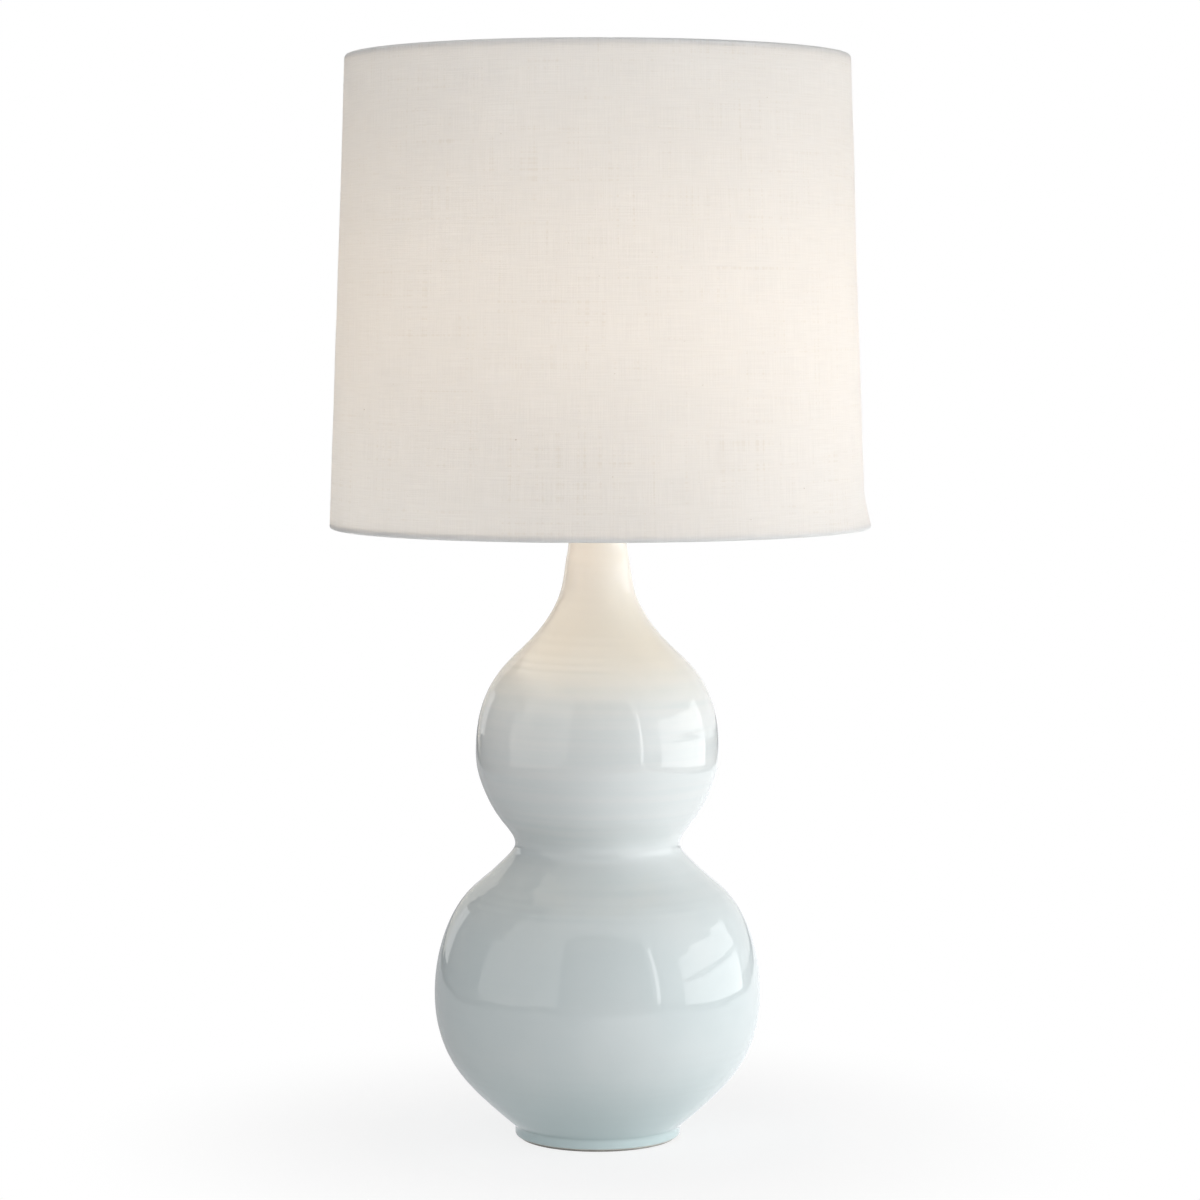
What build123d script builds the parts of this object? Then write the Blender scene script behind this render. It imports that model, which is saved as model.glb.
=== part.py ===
from build123d import *
import os
from math import atan2, cos, degrees, hypot, radians, sin

os.makedirs("parts", exist_ok=True)

# A table lamp: a thrown ceramic body of two bulbs on a low foot, a socket, a harp and a linen drum shade.
# Millimetres, +Z up. The lamp's axis is Z, and Z = 0 is the surface that it stands on. The front is -Y.

# ---- Driving dimensions --------------------------------------------------------------------------

# ceramic body: radii and heights of its rings, heights from the table
foot_radius = 63.9
foot_top = 9.5
foot_draft = 0.5
foot_edge = 2.0
belly_radius = 125.1
belly_height = 112.5
waist_radius = 63.2
waist_height = 225.5
upper_radius = 93.0
upper_height = 302.0
neck_root_radius = 24.6
neck_root_height = 440.0
mouth_radius = 21.5
mouth_height = 508.0
gourd_wall = 6.0
foot_ring_width = 9.5
recess_height = 20.0
floor_thickness = 8.0
floor_hole_radius = 6.5

# shape of the wall between two rings: (share of the way up, share of the way out) at a few points
foot_to_belly = ((0.17, 0.325), (0.47, 0.77), (0.77, 0.965))
belly_to_waist = ((0.41, 0.135), (0.68, 0.43), (0.80, 0.68), (0.89, 0.855))
waist_to_upper = ((0.24, 0.33), (0.55, 0.78), (0.78, 0.965))
upper_to_neck = ((0.25, 0.085), (0.42, 0.275), (0.60, 0.63), (0.75, 0.855), (0.87, 0.955))

# base: felt, cord outlet and the nut under the floor
felt_thickness = 1.5
felt_margin = 4.0
outlet_radius = 4.0
outlet_side_height = 2.5
base_washer_radius = 19.0
base_washer_thickness = 1.6
lock_washer_radius = 8.2
lock_washer_thickness = 1.8
lock_washer_slit = 1.4
nut_across_flats = 14.3
nut_thickness = 4.5

# threaded pipe that ties the lamp together
pipe_radius = 4.85
pipe_bore_radius = 3.3
pipe_below_nut = 3.0
pipe_above_saddle = 8.0

# neck hardware
gasket_thickness = 1.5
cap_thickness = 1.0
cap_skirt_height = 8.0
cap_skirt_taper = 0.4
cap_corner_radius = 0.9
gasket_margin = 0.5
gasket_overhang = 1.0
spacer_radius = 8.0
spacer_bead_radius = 9.6
spacer_height = 8.2

# harp and its saddle
saddle_thickness = 1.6
saddle_width = 12.7
saddle_flat_half = 14.0
saddle_rise = 9.0
ledge_margin = 0.8
ledge_corner_radius = 3.0
tenon_corner_radius = 1.1
harp_half_span = 28.0
tenon_width = 4.4
tenon_height = 12.0
sleeve_inner_radius = 3.0
sleeve_outer_radius = 3.7
harp_height = 266.7
harp_wire_radius = 1.8
harp_foot_thickness = 1.5
harp_foot_lap = 4.0
harp_straight = 20.0
harp_half_width = 57.0
harp_bulge_low = 95.0
harp_bulge_high = 188.0
harp_shoulder_half = 36.0
harp_bend_radius = 45.0
harp_bulge_radius = 60.0
harp_shoulder_radius = 22.0
pad_length = 24.0
pad_width = 15.0
pad_thickness = 2.5
pad_weld = 2.0

# swivel stud on top of the harp
stud_shank_radius = 2.5
stud_head_radius = 4.5
stud_head_thickness = 1.5
stud_flange_radius = 7.0
stud_flange_thickness = 2.0
stud_post_radius = 3.17
stud_post_height = 14.0
stud_tip_chamfer = 0.6

# lamp socket
socket_height = 56.0
socket_cap_radius = 17.5
socket_cap_height = 16.0
socket_cap_flare = 9.0
socket_wall = 0.6
cap_bush_radius = 8.0
cap_bush_height = 4.4
cap_lap = 4.0
shell_bead = 0.6
shell_bead_height = 1.2
insulator_wall = 0.5
core_height = 20.0
core_lift = 10.0
core_duct_radius = 2.0
core_duct_offset = 8.5
screw_shell_height = 25.0
screw_shell_wall = 0.4
screw_shell_floor = 0.5
screw_shell_window = 8.0
contact_lift = 1.5
contact_thickness = 0.5
contact_width = 3.5
contact_length = 11.0
terminal_head_radius = 2.6
terminal_head_thickness = 1.4
terminal_shank_radius = 1.5
terminal_shank_length = 5.0
terminal_pocket_depth = 2.2
terminal_pocket_width = 7.0
terminal_pocket_height = 8.0
set_screw_radius = 1.5
set_screw_length = 4.5

# turn switch on the front of the socket
switch_shaft_radius = 1.6
switch_shaft_insert = 5.0
switch_hole_radius = 2.1
knob_radius = 5.8
knob_length = 12.0
knob_standoff = 2.0
knob_socket_depth = 6.0
knob_flute_radius = 0.9
knob_flute_count = 12
knob_edge = 1.0

# light bulb
bulb_base_radius = 13.0
bulb_base_wall = 0.4
bulb_base_height = 26.0
bulb_taper_start = 3.0
bulb_taper_height = 4.0
bulb_base_opening = 7.0
bulb_tip_radius = 3.6
bulb_tip_thickness = 1.2
bulb_insulator_lip = 0.6
bulb_insulator_depth = 2.0
bulb_rim_above_base = 1.0
bulb_radius = 30.2
bulb_widest_above_tip = 78.0
bulb_length = 110.0
bulb_wall = 0.8
bulb_glass_insert = 5.0
stem_flare_height = 7.0
stem_rim_height = 1.0
stem_rod_radius = 2.4
stem_height = 30.0
lead_radius = 0.3
lead_spread = 9.0
lead_height = 14.0
filament_radius = 0.7

# shade: a tapered drum
shade_top_radius = 190.5
shade_bottom_radius = 203.2
shade_height = 355.6
shade_drop = 28.1
fabric_thickness = 0.6
liner_thickness = 0.5
shade_wire_radius = 1.5
hem_sweep = 288.0
arm_count = 3
arm_wire_radius = 1.4
first_arm_angle = 272.6
arm_run = 14.0
arm_landing = 34.0
arm_bend_radius = 12.0
arm_weld_sink = 0.5
arm_end_radius = 12.5
fitter_radius = 16.0
fitter_hole_radius = 5.55
fitter_thickness = 1.6
notch_margin = 0.4
notch_past_crest = 0.9

# finial
finial_radius = 9.0
finial_base_thickness = 2.5
finial_neck_radius = 4.9
finial_neck_height = 6.0
finial_ball_radius = 7.4
finial_height = 24.5
finial_bore_depth = 13.0

# clearances
thread_gap = 0.05
running_gap = 0.05
finial_gap = 0.08
bulb_thread_gap = 0.10
slip_gap = 0.3
glue_gap = 0.05
pipe_gap = 0.15
fit_gap = 0.10
rivet_play = 0.1
ring_gap = 0.2
cut_past = 1.0

# ---- Heights that follow from the stack ----------------------------------------------------------

foot_bottom = felt_thickness
pipe_clear_radius = pipe_radius + pipe_gap
pipe_thread_radius = pipe_radius + thread_gap
washer_bottom = recess_height - base_washer_thickness
lock_washer_bottom = washer_bottom - lock_washer_thickness
nut_bottom = lock_washer_bottom - nut_thickness
pipe_bottom = nut_bottom - pipe_below_nut

cap_bottom = mouth_height + gasket_thickness
spacer_bottom = cap_bottom + cap_thickness
saddle_bottom = spacer_bottom + spacer_height
socket_bottom = saddle_bottom + saddle_thickness
ledge_top = socket_bottom + saddle_rise
pipe_top = socket_bottom + pipe_above_saddle

fitter_bottom = ledge_top + harp_height
flange_bottom = fitter_bottom - stud_flange_thickness
pad_bottom = flange_bottom - pad_thickness
fitter_top = fitter_bottom + fitter_thickness
shade_top = fitter_bottom + shade_drop
shade_bottom = shade_top - shade_height

core_bottom = socket_bottom + core_lift
core_top = core_bottom + core_height
switch_height = core_bottom + core_height / 2
socket_top = socket_bottom + socket_height
shell_radius = socket_cap_radius - socket_wall - fit_gap
insulator_radius = shell_radius - socket_wall - fit_gap
core_radius = insulator_radius - insulator_wall - slip_gap
screw_shell_bore = bulb_base_radius + bulb_thread_gap
contact_top = core_top + contact_lift + contact_thickness
bulb_tip = contact_top


# ---- Ceramic body --------------------------------------------------------------------------------


def between(low, high, rise, out):
    """A point a share of the way up and a share of the way out from one ring of the body to the next."""
    return (low[0] + (high[0] - low[0]) * out, low[1] + (high[1] - low[1]) * rise)


foot_ring = (foot_radius, foot_top)
belly_ring = (belly_radius, belly_height)
waist_ring = (waist_radius, waist_height)
upper_ring = (upper_radius, upper_height)
neck_root_ring = (neck_root_radius, neck_root_height)
mouth_ring = (mouth_radius, mouth_height)

outline_points = [foot_ring]
for low_ring, high_ring, shares in (
    (foot_ring, belly_ring, foot_to_belly),
    (belly_ring, waist_ring, belly_to_waist),
    (waist_ring, upper_ring, waist_to_upper),
    (upper_ring, neck_root_ring, upper_to_neck),
    (neck_root_ring, mouth_ring, ()),
):
    outline_points += [between(low_ring, high_ring, rise, out) for rise, out in shares]
    outline_points.append(high_ring)
gourd_outline = Spline(*outline_points, tangents=[(1, 0.85), (0, 1)])

# the inside follows the outside, one wall thickness in along the normal
cavity_steps = 28
cavity_points = []
for step in range(cavity_steps + 1):
    position = gourd_outline @ (step / cavity_steps)
    direction = gourd_outline % (step / cavity_steps)
    cavity_points.append((position.X - gourd_wall * direction.Y, position.Y + gourd_wall * direction.X))

with BuildPart() as gourd_cavity:
    with BuildSketch(Plane.XZ):
        with BuildLine():
            inner_wall = Spline(*cavity_points)
            mouth_wall = Line(inner_wall @ 1, (cavity_points[-1][0], mouth_height + cut_past))
            Polyline(mouth_wall @ 1, (0, mouth_height + cut_past), (0, cavity_points[0][1]), inner_wall @ 0)
        make_face()
    revolve(axis=Axis.Z)
    split(bisect_by=Plane.XY.offset(recess_height + floor_thickness), keep=Keep.TOP)

recess_radius = foot_radius - foot_ring_width

with BuildPart() as gourd_body:
    with BuildSketch(Plane.XZ):
        with BuildLine():
            base_line = Line((0, foot_bottom), (foot_radius - foot_draft - foot_edge, foot_bottom))
            foot_corner = (foot_radius - foot_draft, foot_bottom + foot_edge)
            rounded_edge = TangentArc(base_line @ 1, foot_corner, tangent=(1, 0))
            Line(rounded_edge @ 1, foot_ring)
            add(gourd_outline)
            Polyline(mouth_ring, (0, mouth_height), base_line @ 0)
        make_face()
    revolve(axis=Axis.Z)
    add(gourd_cavity.part, mode=Mode.SUBTRACT)
    with BuildSketch(Plane.XY.offset(foot_bottom)):
        Circle(recess_radius)
    extrude(amount=recess_height - foot_bottom, mode=Mode.SUBTRACT)
    with BuildSketch(Plane.XY.offset(recess_height)):
        Circle(floor_hole_radius)
    extrude(amount=floor_thickness + cut_past, mode=Mode.SUBTRACT)
    # the cord leaves through an arch at the back of the foot
    with BuildSketch(Plane.XZ.offset(-(recess_radius - foot_ring_width))):
        with Locations((0, foot_bottom + outlet_side_height)):
            Circle(outlet_radius)
        with Locations((0, foot_bottom + outlet_side_height / 2)):
            Rectangle(2 * outlet_radius, outlet_side_height)
    extrude(amount=-3 * foot_ring_width, mode=Mode.SUBTRACT)
gourd_body.part.label = "gourd_body"
export_step(gourd_body.part, "parts/gourd_body.step")


# ---- Base ----------------------------------------------------------------------------------------

with BuildPart() as felt_pad:
    with BuildSketch():
        Circle(foot_radius - felt_margin)
    extrude(amount=felt_thickness)
felt_pad.part.label = "felt_pad"
export_step(felt_pad.part, "parts/felt_pad.step")

with BuildPart() as base_washer:
    with BuildSketch(Plane.XY.offset(washer_bottom)):
        Circle(base_washer_radius)
        Circle(pipe_clear_radius, mode=Mode.SUBTRACT)
    extrude(amount=base_washer_thickness)
base_washer.part.label = "base_washer"
export_step(base_washer.part, "parts/base_washer.step")

with BuildPart() as base_lock_washer:
    with BuildSketch(Plane.XY.offset(lock_washer_bottom)):
        Circle(lock_washer_radius)
        Circle(pipe_clear_radius, mode=Mode.SUBTRACT)
        with Locations((lock_washer_radius / 2 + pipe_clear_radius / 2, 0)):
            Rectangle(lock_washer_radius, lock_washer_slit, mode=Mode.SUBTRACT)
    extrude(amount=lock_washer_thickness)
base_lock_washer.part.label = "base_lock_washer"
export_step(base_lock_washer.part, "parts/base_lock_washer.step")

with BuildPart() as base_hex_nut:
    with BuildSketch(Plane.XY.offset(nut_bottom)):
        RegularPolygon(nut_across_flats / 2, 6, major_radius=False)
        Circle(pipe_thread_radius, mode=Mode.SUBTRACT)
    extrude(amount=nut_thickness)
base_hex_nut.part.label = "base_hex_nut"
export_step(base_hex_nut.part, "parts/base_hex_nut.step")

with BuildPart() as lamp_pipe:
    with BuildSketch(Plane.XY.offset(pipe_bottom)):
        Circle(pipe_radius)
        Circle(pipe_bore_radius, mode=Mode.SUBTRACT)
    extrude(amount=pipe_top - pipe_bottom)
lamp_pipe.part.label = "lamp_pipe"
export_step(lamp_pipe.part, "parts/lamp_pipe.step")


# ---- Neck hardware -------------------------------------------------------------------------------

with BuildPart() as neck_gasket:
    with BuildSketch(Plane.XY.offset(mouth_height)):
        Circle(mouth_radius - gasket_margin)
        Circle(mouth_radius - gourd_wall - gasket_overhang, mode=Mode.SUBTRACT)
    extrude(amount=gasket_thickness)
neck_gasket.part.label = "neck_gasket"
export_step(neck_gasket.part, "parts/neck_gasket.step")

# a spun cap: its skirt hides the joint of metal and ceramic, and ends in a rolled bead
skirt_radius = mouth_radius + slip_gap
skirt_bottom = cap_bottom - cap_skirt_height
skirt_bottom_radius = skirt_radius + cap_skirt_taper
with BuildPart() as neck_cap:
    with BuildSketch(Plane.XZ):
        with BuildLine():
            Polyline(
                (pipe_clear_radius, cap_bottom),
                (skirt_radius, cap_bottom),
                (skirt_bottom_radius, skirt_bottom),
                (skirt_bottom_radius + cap_thickness, skirt_bottom),
                (skirt_radius + cap_thickness, spacer_bottom),
                (pipe_clear_radius, spacer_bottom),
                close=True,
            )
        cap_section = make_face()
        fillet(cap_section.vertices().group_by(Axis.Y)[-1].sort_by(Axis.X)[-1], cap_corner_radius)
        with Locations((skirt_bottom_radius + cap_thickness, skirt_bottom + cap_thickness / 2)):
            Circle(cap_thickness / 2)
    revolve(axis=Axis.Z)
neck_cap.part.label = "neck_cap"
export_step(neck_cap.part, "parts/neck_cap.step")

with BuildPart() as neck_spacer:
    with BuildSketch(Plane.XZ):
        with BuildLine():
            spacer_mid = spacer_bottom + spacer_height / 2
            bead_half = spacer_height / 4
            lower_side = Line((spacer_radius, spacer_bottom), (spacer_radius, spacer_mid - bead_half))
            bead = ThreePointArc(
                lower_side @ 1, (spacer_bead_radius, spacer_mid), (spacer_radius, spacer_mid + bead_half)
            )
            Polyline(
                bead @ 1,
                (spacer_radius, saddle_bottom),
                (pipe_clear_radius, saddle_bottom),
                (pipe_clear_radius, spacer_bottom),
                lower_side @ 0,
            )
        make_face()
    revolve(axis=Axis.Z)
neck_spacer.part.label = "neck_spacer"
export_step(neck_spacer.part, "parts/neck_spacer.step")

# the saddle is one bent strip: a flat under the socket, two ledges that carry the harp, and a tenon on each
ledge_end = harp_half_span + sleeve_outer_radius + ledge_margin
slope_end = harp_half_span - sleeve_outer_radius - ledge_margin
tenon_outer = harp_half_span - running_gap
with BuildPart() as harp_saddle:
    with BuildSketch(Plane.XZ):
        with BuildLine():
            Polyline(
                (0, saddle_bottom),
                (saddle_flat_half, saddle_bottom),
                (slope_end, ledge_top - saddle_thickness),
                (ledge_end, ledge_top - saddle_thickness),
                (ledge_end, ledge_top),
                (slope_end, ledge_top),
                (saddle_flat_half, socket_bottom),
                (0, socket_bottom),
                close=True,
            )
        make_face()
    extrude(amount=saddle_width / 2, both=True)
    fillet(harp_saddle.edges().filter_by(Axis.Z).group_by(Axis.X)[-1], ledge_corner_radius)
    with BuildSketch(Plane.XY.offset(ledge_top)):
        with Locations((tenon_outer - saddle_thickness / 2, 0)):
            Rectangle(saddle_thickness, tenon_width)
    extrude(amount=tenon_height)
    fillet(harp_saddle.edges().filter_by(Axis.X).group_by(Axis.Z)[-1], tenon_corner_radius)
    mirror(about=Plane.YZ)
    with BuildSketch(Plane.XY.offset(saddle_bottom)):
        Circle(pipe_clear_radius)
    extrude(amount=saddle_thickness, mode=Mode.SUBTRACT)
harp_saddle.part.label = "harp_saddle"
export_step(harp_saddle.part, "parts/harp_saddle.step")


# ---- Socket --------------------------------------------------------------------------------------

flare_top = socket_bottom + socket_cap_flare
cap_floor = socket_bottom + cap_bush_height
with BuildPart() as socket_cap:
    with BuildSketch(Plane.XZ):
        with BuildLine():
            bush = Polyline(
                (pipe_thread_radius, cap_floor),
                (pipe_thread_radius, socket_bottom),
                (cap_bush_radius, socket_bottom),
            )
            bowl = TangentArc(bush @ 1, (socket_cap_radius, flare_top), tangent=(1, 0.25))
            rim = Polyline(
                bowl @ 1,
                (socket_cap_radius, socket_bottom + socket_cap_height),
                (socket_cap_radius - socket_wall, socket_bottom + socket_cap_height),
                (socket_cap_radius - socket_wall, flare_top + socket_wall),
            )
            inner_bowl = TangentArc((cap_bush_radius, cap_floor), rim @ 1, tangent=(1, 0.1))
            Line(inner_bowl @ 0, bush @ 0)
        make_face()
    revolve(axis=Axis.Z)
    # tapped hole for the screw that locks the cap to the pipe
    with BuildSketch(Plane.YZ.offset(pipe_radius)):
        with Locations((0, socket_bottom + cap_bush_height / 2)):
            Circle(set_screw_radius)
    extrude(amount=2 * cap_bush_radius, mode=Mode.SUBTRACT)
socket_cap.part.label = "socket_cap"
export_step(socket_cap.part, "parts/socket_cap.step")

with BuildPart() as cap_set_screw:
    with BuildSketch(Plane.YZ.offset(pipe_radius + fit_gap)):
        with Locations((0, socket_bottom + cap_bush_height / 2)):
            Circle(set_screw_radius - thread_gap)
    extrude(amount=set_screw_length)
cap_set_screw.part.label = "cap_set_screw"
export_step(cap_set_screw.part, "parts/cap_set_screw.step")

shell_bottom = socket_bottom + socket_cap_height - cap_lap
with BuildPart() as socket_shell:
    with BuildSketch(Plane.XZ):
        with BuildLine():
            Polyline(
                (shell_radius - socket_wall, shell_bottom),
                (shell_radius, shell_bottom),
                (shell_radius, socket_top - shell_bead_height),
                (shell_radius + shell_bead, socket_top - shell_bead_height / 2),
                (shell_radius, socket_top),
                (shell_radius - socket_wall, socket_top),
                close=True,
            )
        make_face()
    revolve(axis=Axis.Z)
    with BuildSketch(Plane.XZ):
        with Locations((0, switch_height)):
            Circle(switch_hole_radius)
    extrude(amount=2 * shell_radius, mode=Mode.SUBTRACT)
socket_shell.part.label = "socket_shell"
export_step(socket_shell.part, "parts/socket_shell.step")

with BuildPart() as socket_insulator:
    with BuildSketch(Plane.XY.offset(shell_bottom)):
        Circle(insulator_radius)
        Circle(insulator_radius - insulator_wall, mode=Mode.SUBTRACT)
    extrude(amount=socket_top - shell_bottom - shell_bead_height)
    with BuildSketch(Plane.XZ):
        with Locations((0, switch_height)):
            Circle(switch_hole_radius)
    extrude(amount=2 * insulator_radius, mode=Mode.SUBTRACT)
socket_insulator.part.label = "socket_insulator"
export_step(socket_insulator.part, "parts/socket_insulator.step")

pocket_floor = core_radius - terminal_pocket_depth
with BuildPart() as socket_core:
    with BuildSketch(Plane.XY.offset(core_bottom)):
        Circle(core_radius)
        with Locations((0, core_duct_offset)):
            Circle(core_duct_radius, mode=Mode.SUBTRACT)
    extrude(amount=core_height)
    # a pocket on each side for the terminal screw
    for side in (1, -1):
        with BuildSketch(Plane.YZ.offset(side * pocket_floor)):
            with Locations((0, switch_height)):
                Rectangle(terminal_pocket_width, terminal_pocket_height)
        extrude(amount=side * 2 * terminal_pocket_depth, mode=Mode.SUBTRACT)
        with BuildSketch(Plane.YZ.offset(side * pocket_floor)):
            with Locations((0, switch_height)):
                Circle(terminal_shank_radius)
        extrude(amount=-side * terminal_shank_length, mode=Mode.SUBTRACT)
    with BuildSketch(Plane.XZ.offset(core_radius - switch_shaft_insert)):
        with Locations((0, switch_height)):
            Circle(switch_shaft_radius + running_gap)
    extrude(amount=2 * switch_shaft_insert, mode=Mode.SUBTRACT)
socket_core.part.label = "socket_core"
export_step(socket_core.part, "parts/socket_core.step")

with BuildPart() as terminal_screws:
    for side in (1, -1):
        with BuildSketch(Plane.YZ.offset(side * pocket_floor)):
            with Locations((0, switch_height)):
                Circle(terminal_head_radius)
        extrude(amount=side * terminal_head_thickness)
        with BuildSketch(Plane.YZ.offset(side * pocket_floor)):
            with Locations((0, switch_height)):
                Circle(terminal_shank_radius - thread_gap)
        extrude(amount=-side * (terminal_shank_length - slip_gap))
terminal_screws.part.label = "terminal_screws"
export_step(terminal_screws.part, "parts/terminal_screws.step")

with BuildPart() as socket_screw_shell:
    with BuildSketch(Plane.XY.offset(core_top)):
        Circle(screw_shell_bore + screw_shell_wall)
        Circle(screw_shell_window, mode=Mode.SUBTRACT)
    extrude(amount=screw_shell_floor)
    with BuildSketch(Plane.XY.offset(core_top)):
        Circle(screw_shell_bore + screw_shell_wall)
        Circle(screw_shell_bore, mode=Mode.SUBTRACT)
    extrude(amount=screw_shell_height)
socket_screw_shell.part.label = "socket_screw_shell"
export_step(socket_screw_shell.part, "parts/socket_screw_shell.step")

with BuildPart() as socket_contact:
    with BuildSketch(Plane.XZ):
        with BuildLine():
            contact_end = contact_length / 2
            Polyline(
                (-contact_end, core_top),
                (-contact_end + contact_thickness, core_top),
                (-contact_end + contact_thickness, contact_top - contact_thickness),
                (contact_end, contact_top - contact_thickness),
                (contact_end, contact_top),
                (-contact_end, contact_top),
                close=True,
            )
        make_face()
    extrude(amount=contact_width / 2, both=True)
socket_contact.part.label = "socket_contact"
export_step(socket_contact.part, "parts/socket_contact.step")


# ---- Switch --------------------------------------------------------------------------------------

knob_start = shell_radius + shell_bead + knob_standoff
shaft_start = core_radius - switch_shaft_insert + slip_gap
with BuildPart() as switch_shaft:
    with BuildSketch(Plane.XZ.offset(shaft_start)):
        with Locations((0, switch_height)):
            Circle(switch_shaft_radius)
    extrude(amount=knob_start + knob_socket_depth - shaft_start)
switch_shaft.part.label = "switch_shaft"
export_step(switch_shaft.part, "parts/switch_shaft.step")

with BuildPart() as switch_knob:
    with BuildSketch(Plane.XZ.offset(knob_start)):
        with Locations((0, switch_height)):
            Circle(knob_radius)
    extrude(amount=knob_length)
    fillet(switch_knob.faces().sort_by(Axis.Y)[0].edges(), knob_edge)
    with BuildSketch(Plane.XZ.offset(knob_start)):
        with Locations((0, switch_height)):
            with PolarLocations(knob_radius, knob_flute_count):
                Circle(knob_flute_radius)
    extrude(amount=knob_length, mode=Mode.SUBTRACT)
    with BuildSketch(Plane.XZ.offset(knob_start)):
        with Locations((0, switch_height)):
            Circle(switch_shaft_radius + glue_gap)
    extrude(amount=knob_socket_depth, mode=Mode.SUBTRACT)
switch_knob.part.label = "switch_knob"
export_step(switch_knob.part, "parts/switch_knob.step")


# ---- Bulb ----------------------------------------------------------------------------------------

bulb_base_top = bulb_tip + bulb_base_height
bulb_neck_radius = bulb_base_radius - bulb_base_wall - fit_gap
bulb_glass_bottom = bulb_base_top - bulb_glass_insert
bulb_widest = bulb_tip + bulb_widest_above_tip
bulb_crown = bulb_tip + bulb_length

with BuildPart() as bulb_glass:
    for inset, mode in ((0, Mode.ADD), (bulb_wall, Mode.SUBTRACT)):
        with BuildSketch(Plane.XZ):
            with BuildLine():
                throat = Line(
                    (bulb_neck_radius - inset, bulb_glass_bottom),
                    (bulb_neck_radius - inset, bulb_base_top + bulb_rim_above_base),
                )
                swell = Spline(throat @ 1, (bulb_radius - inset, bulb_widest), tangents=[(0.1, 1), (0, 1)])
                dome = Spline(swell @ 1, (0, bulb_crown - inset), tangents=[(0, 1), (-1, 0)])
                Polyline(dome @ 1, (0, bulb_glass_bottom), throat @ 0)
            make_face()
        revolve(axis=Axis.Z, mode=mode)
bulb_glass.part.label = "bulb_glass"
export_step(bulb_glass.part, "parts/bulb_glass.step")

taper_bottom = bulb_tip + bulb_taper_start
taper_top = taper_bottom + bulb_taper_height
with BuildPart() as bulb_screw_cap:
    with BuildSketch(Plane.XZ):
        with BuildLine():
            Polyline(
                (bulb_base_opening, taper_bottom),
                (bulb_base_radius, taper_top),
                (bulb_base_radius, bulb_base_top),
                (bulb_base_radius - bulb_base_wall, bulb_base_top),
                (bulb_base_radius - bulb_base_wall, taper_top + bulb_base_wall),
                (bulb_base_opening, taper_bottom + bulb_base_wall),
                close=True,
            )
        make_face()
    revolve(axis=Axis.Z)
bulb_screw_cap.part.label = "bulb_screw_cap"
export_step(bulb_screw_cap.part, "parts/bulb_screw_cap.step")

insulator_bottom = bulb_tip + bulb_tip_thickness
with BuildPart() as bulb_insulator:
    with BuildSketch(Plane.XZ):
        with BuildLine():
            Polyline(
                (0, insulator_bottom),
                (bulb_tip_radius + bulb_insulator_lip, insulator_bottom),
                (bulb_base_opening - glue_gap, taper_bottom),
                (bulb_base_opening - glue_gap, taper_bottom + bulb_insulator_depth),
                (0, taper_bottom + bulb_insulator_depth),
                close=True,
            )
        make_face()
    revolve(axis=Axis.Z)
bulb_insulator.part.label = "bulb_insulator"
export_step(bulb_insulator.part, "parts/bulb_insulator.step")

with BuildPart() as bulb_tip_contact:
    with BuildSketch(Plane.XY.offset(bulb_tip)):
        Circle(bulb_tip_radius)
    extrude(amount=bulb_tip_thickness)
bulb_tip_contact.part.label = "bulb_tip_contact"
export_step(bulb_tip_contact.part, "parts/bulb_tip_contact.step")

stem_bottom = bulb_glass_bottom
stem_flare_radius = bulb_neck_radius - bulb_wall - glue_gap
stem_top = stem_bottom + stem_height
with BuildPart() as bulb_stem:
    with BuildSketch(Plane.XZ):
        with BuildLine():
            stem_foot = Line((0, stem_bottom), (stem_flare_radius, stem_bottom))
            stem_edge = Line(stem_foot @ 1, (stem_flare_radius, stem_bottom + stem_rim_height))
            stem_flare = Spline(
                stem_edge @ 1,
                (stem_rod_radius, stem_bottom + stem_flare_height),
                tangents=[(-1, 0.1), (0, 1)],
            )
            Polyline(stem_flare @ 1, (stem_rod_radius, stem_top), (0, stem_top), stem_foot @ 0)
        make_face()
    revolve(axis=Axis.Z)
bulb_stem.part.label = "bulb_stem"
export_step(bulb_stem.part, "parts/bulb_stem.step")

# two lead wires out of the stem, with the coil between their ends
lead_top = stem_top + lead_height
with BuildPart() as bulb_filament:
    with BuildLine(Plane.XZ) as lead_line:
        FilletPolyline(
            (stem_rod_radius / 2, stem_top),
            (stem_rod_radius / 2, stem_top + lead_height / 4),
            (lead_spread, lead_top),
            radius=lead_height / 8,
        )
    with BuildSketch(Plane(lead_line.line @ 0, z_dir=(0, 0, 1))):
        Circle(lead_radius)
    sweep(path=lead_line.line)
    mirror(about=Plane.YZ)
    with BuildSketch(Plane.YZ.offset(-lead_spread)):
        with Locations((0, lead_top)):
            Circle(filament_radius)
    extrude(amount=2 * lead_spread)
bulb_filament.part.label = "bulb_filament"
export_step(bulb_filament.part, "parts/bulb_filament.step")


# ---- Harp ----------------------------------------------------------------------------------------

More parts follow.
